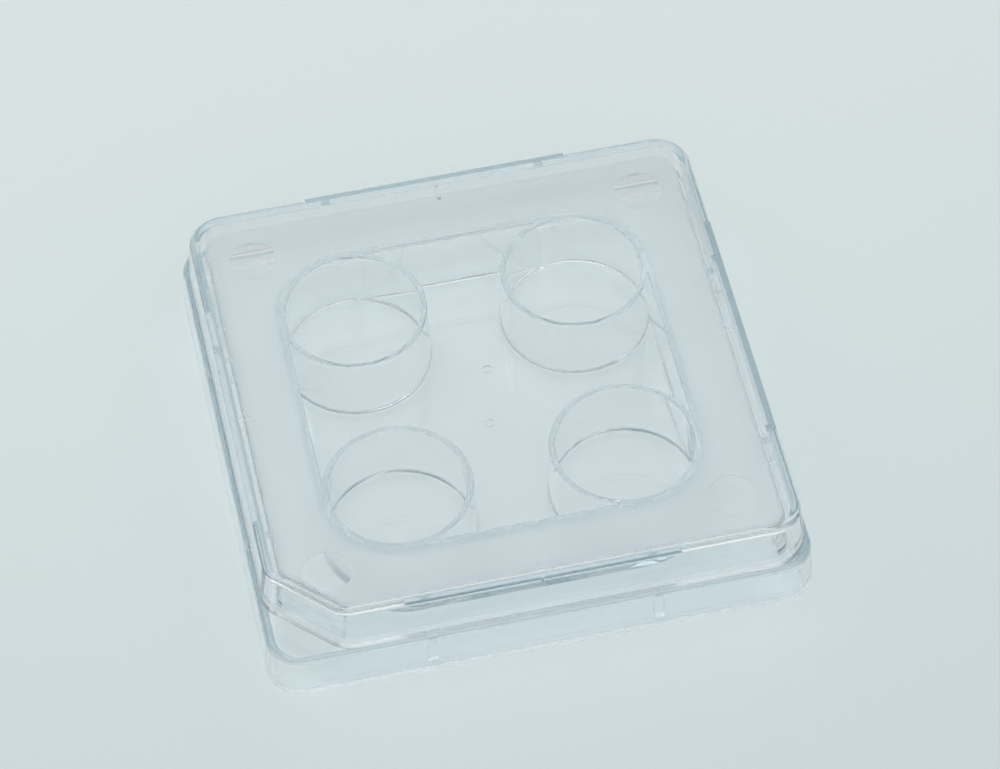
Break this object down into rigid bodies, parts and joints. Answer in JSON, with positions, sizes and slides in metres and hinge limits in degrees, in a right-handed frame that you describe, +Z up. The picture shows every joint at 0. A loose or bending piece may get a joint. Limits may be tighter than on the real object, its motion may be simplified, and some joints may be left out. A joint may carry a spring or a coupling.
{
  "type": "well plate",
  "caption": "Clear square culture dish with round wells in a central trough, a frosted deck and a bevelled lift-off lid.",
  "frame": {"origin": "centre of the footprint, on the surface that the dish stands on", "axes": "+Z up, +X to the right, -Y towards the front; the bevelled corner is front left"},
  "size_m": [0.066, 0.066, 0.0122],
  "materials": {
    "base": "clear polystyrene, with a finely frosted deck",
    "lid": "clear polished polystyrene"
  },
  "bodies": {
    "root": {"plate_base": "base", "lid": "lid"}
  },
  "joints": []
}
